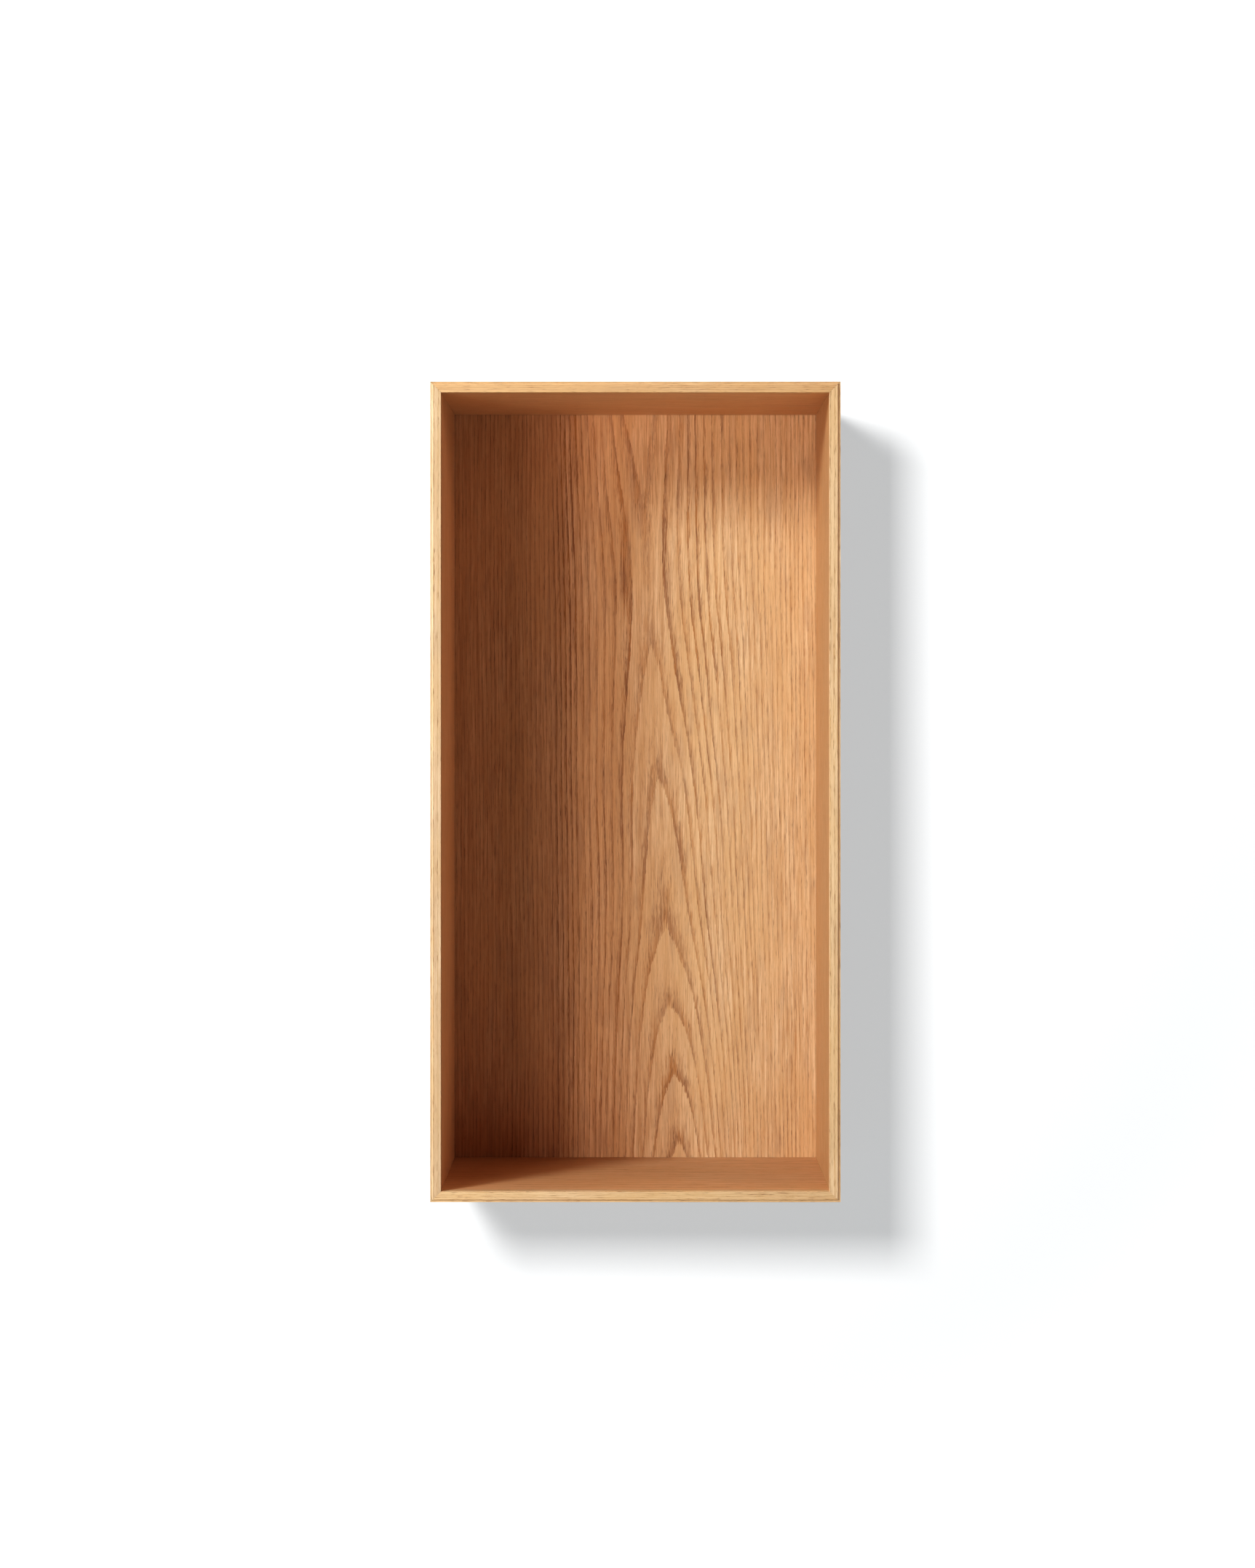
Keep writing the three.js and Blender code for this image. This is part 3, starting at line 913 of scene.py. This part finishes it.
def make_spacers():
    """Soft round pads with a rolled rim and a shallow dish towards the wall."""
    for number, side in enumerate(("left", "right")):
        node = f"{side}_wall_spacer"
        low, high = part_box(node)
        radius = (high.x - low.x) / 2
        centre = Vector(((low.x + high.x) / 2, 0, (low.z + high.z) / 2))
        profile = [(radius - 0.5 * MM, low.y), (radius, low.y + 0.5 * MM)]
        rim = 1.2 * MM
        for step in range(9):
            angle = math.pi / 2 * step / 8
            profile.append((radius - rim * (1 - math.cos(angle)), high.y - rim * (1 - math.sin(angle))))
        dish = 0.45 * MM
        for share in (0.62, 0.5, 0.36, 0.2, 0.06):
            profile.append((radius * share, high.y - dish * (1 - (share / 0.66) ** 2)))
        pad = turned(f"{node}_pad", profile, centre, [soft_rubber(f"rubber_{side}", number + 2.0)])
        even_normals(pad)
        stands_for(pad, node)


# ---- stage -------------------------------------------------------------------------------------


def plane(name, corners, material):
    """A flat stage surface with the given corners."""
    mesh_data = bmesh.new()
    mesh_data.faces.new([mesh_data.verts.new(corner) for corner in corners])
    mesh = bpy.data.meshes.new(name)
    mesh_data.to_mesh(mesh)
    mesh_data.free()
    mesh.materials.append(material)
    made = bpy.data.objects.new(name, mesh)
    bpy.context.scene.collection.objects.link(made)
    made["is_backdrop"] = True
    return made


def wall_material():
    """A plain white wall with a glow that grows away from the box. Its back can be looked through."""
    g = Graph("stage_wall")
    place = g.place()
    height = g.math("SUBTRACT", place["z"], MIDDLE_Z / MM)
    away = g.math("SQRT", g.math("ADD", g.math("POWER", place["x"], 2.0), g.math("POWER", height, 2.0)))
    glow_rises = 460.0
    glow_full = 850.0
    strength = g.between(away, glow_rises, glow_full, 0.625, 0.9)
    glow = g.node("ShaderNodeEmission", {}, {"Color": colour(0.975, 0.99, 1.0), "Strength": strength})
    paint = g.node("ShaderNodeBsdfDiffuse", {}, {"Color": colour(0.1, 0.1, 0.1)})
    both = g.node("ShaderNodeAddShader", {}, {0: glow.outputs[0], 1: paint.outputs[0]})
    clear = g.node("ShaderNodeBsdfTransparent", {}, {})
    behind = g.node("ShaderNodeNewGeometry", {}, {}).outputs["Backfacing"]
    shown = g.node("ShaderNodeMixShader", {}, {0: behind, 1: both.outputs[0], 2: clear.outputs[0]})
    g.node("ShaderNodeOutputMaterial", {}, {"Surface": shown.outputs[0]})
    return g.material


def floor_material():
    """Pale matt paint with a slow change of tint."""
    g = Graph("stage_floor")
    place = g.place()
    cloud = g.noise(g.vector(*(g.math("DIVIDE", place[a], 400.0) for a in "xyz")), 3.0)
    tint = g.mix(cloud, colour(0.74, 0.735, 0.725), colour(0.80, 0.795, 0.785))
    return g.finish({"Base Color": tint, "Roughness": 0.7, "Specular IOR Level": 0.2})


def make_stage():
    """A wall at y = 0 and a level floor."""
    reach = STAGE_SIZE / 2
    square = ((-1, -1), (1, -1), (1, 1), (-1, 1))
    wall_corners = [(x * reach, 0, reach if up > 0 else FLOOR_Z) for x, up in square]
    floor_corners = [(x * reach, y * reach, FLOOR_Z) for x, y in square]
    wall = plane("stage_wall", wall_corners, wall_material())
    floor = plane("stage_floor", floor_corners, floor_material())
    return wall, floor


def make_world():
    """A faint even light, and a pale backdrop where nothing else is seen."""
    world = bpy.data.worlds.new("studio")
    bpy.context.scene.world = world
    world.use_nodes = True
    tree = world.node_tree
    tree.nodes.clear()
    light = tree.nodes.new("ShaderNodeBackground")
    light.inputs["Strength"].default_value = 0.03
    backdrop = tree.nodes.new("ShaderNodeBackground")
    backdrop.inputs["Color"].default_value = colour(0.9, 0.9, 0.9)
    seen = tree.nodes.new("ShaderNodeLightPath")
    mix = tree.nodes.new("ShaderNodeMixShader")
    tree.links.new(seen.outputs["Is Camera Ray"], mix.inputs[0])
    tree.links.new(light.outputs[0], mix.inputs[1])
    tree.links.new(backdrop.outputs[0], mix.inputs[2])
    output = tree.nodes.new("ShaderNodeOutputWorld")
    tree.links.new(mix.outputs[0], output.inputs["Surface"])


def group_of(name, objects):
    """A collection outside the scene's own tree, for light linking."""
    group = bpy.data.collections.new(name)
    for member in objects:
        group.objects.link(member)
    return group


def softbox(name, place, target, size, radiosity, receivers, blockers=None):
    """A soft lamp that gives a facing white surface at the target the stated brightness.

    The brightness is in red, green and blue.
    """
    lamp = bpy.data.lights.new(name, "AREA")
    lamp.shape = "RECTANGLE"
    lamp.size, lamp.size_y = size
    away = target - place
    lamp.energy = max(radiosity) * math.pi ** 2 * away.length_squared
    lamp.color = [share / max(radiosity) for share in radiosity]
    made = bpy.data.objects.new(name, lamp)
    made.location = place
    made.rotation_mode = "QUATERNION"
    made.rotation_quaternion = away.to_track_quat("-Z", "Y")
    made.visible_camera = False
    bpy.context.scene.collection.objects.link(made)
    made.light_linking.receiver_collection = receivers
    if blockers:
        made.light_linking.blocker_collection = blockers


def around(azimuth, elevation, distance):
    """A place round the middle of the box. Azimuth 0 is straight in front, and 90 is to the left."""
    turn = math.radians(azimuth)
    rise = math.radians(elevation)
    towards = Vector((-math.sin(turn) * math.cos(rise), -math.cos(turn) * math.cos(rise), math.sin(rise)))
    return CENTRE + distance * towards


def make_lights(wall, floor):
    """Soft lamps round the box, and one lamp each for the floor and the wall."""
    for_object = group_of("lit_object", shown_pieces())
    for_wall = group_of("lit_wall", [wall])
    # Each lamp has its direction in degrees, its size, and its brightness in red, green and blue.
    lamps = {
        "key_high": ((52, 26), (0.38, 0.45), (0.72, 0.99, 1.24)),
        "key_low": ((39, 2), (0.36, 0.50), (0.48, 0.49, 0.51)),
        "front": ((28, 2), (0.35, 0.60), (0.13, 0.11, 0.11)),
        "below_left": ((45, -40), (0.70, 0.70), (0.21, 0.25, 0.27)),
        "below_right": ((-40, -40), (0.80, 0.70), (0.235, 0.15, 0.115)),
        "right": ((-65, 20), (0.70, 0.70), (0.22, 0.165, 0.15)),
        "overhead": ((2, 86), (0.20, 0.20), (0.27, 0.24, 0.20)),
    }
    for name, (direction, size, radiosity) in lamps.items():
        softbox(name, around(*direction, LAMP_DISTANCE), CENTRE, size, radiosity, for_object)
    softbox("rear", around(205, 28, 2.4), CENTRE, (1.4, 1.4), (0.30, 0.30, 0.30), for_object, for_object)
    # An even light from above, for the floor alone.
    sky = bpy.data.lights.new("floor_light", "SUN")
    sky.energy = 2.1
    sky.color = (0.90, 0.96, 1.0)
    sky.angle = math.radians(30)
    above = bpy.data.objects.new("floor_light", sky)
    bpy.context.scene.collection.objects.link(above)
    above.light_linking.receiver_collection = group_of("lit_floor", [floor])
    # This lamp lights only the wall, and throws the box's soft shadow down to the right.
    wall_lamp = Vector((-0.785, -2.1, MIDDLE_Z + 0.70))
    wall_middle = Vector((0, 0, MIDDLE_Z))
    softbox("wall", wall_lamp, wall_middle, (0.48, 0.48), (5.3, 5.3, 5.3), for_wall, for_object)


def make_camera():
    """A level camera in front of the box, a little above its middle."""
    data = bpy.data.cameras.new("camera")
    data.lens = CAMERA_LENS
    data.sensor_width = 36.0
    data.shift_x, data.shift_y = CAMERA_SHIFT
    camera = bpy.data.objects.new("camera", data)
    camera.location = (0, FRONT_Y - CAMERA_DISTANCE, MIDDLE_Z + CAMERA_RISE)
    camera.rotation_euler = (math.pi / 2, 0, 0)
    bpy.context.scene.collection.objects.link(camera)
    bpy.context.scene.camera = camera


# ---- everything --------------------------------------------------------------------------------

make_camera()
for side_name in SIDES:
    make_board(side_name)
    make_lipping(side_name)
make_back()
finish_splines()
make_battens()
make_rails()
for screw_number in SCREWS:
    make_screw(screw_number)
make_spacers()

make_world()
stage_wall, stage_floor = make_stage()
make_lights(stage_wall, stage_floor)

bpy.context.scene.view_settings.view_transform = "Standard"
bpy.context.scene.view_settings.gamma = 1 / DISPLAY_CONTRAST
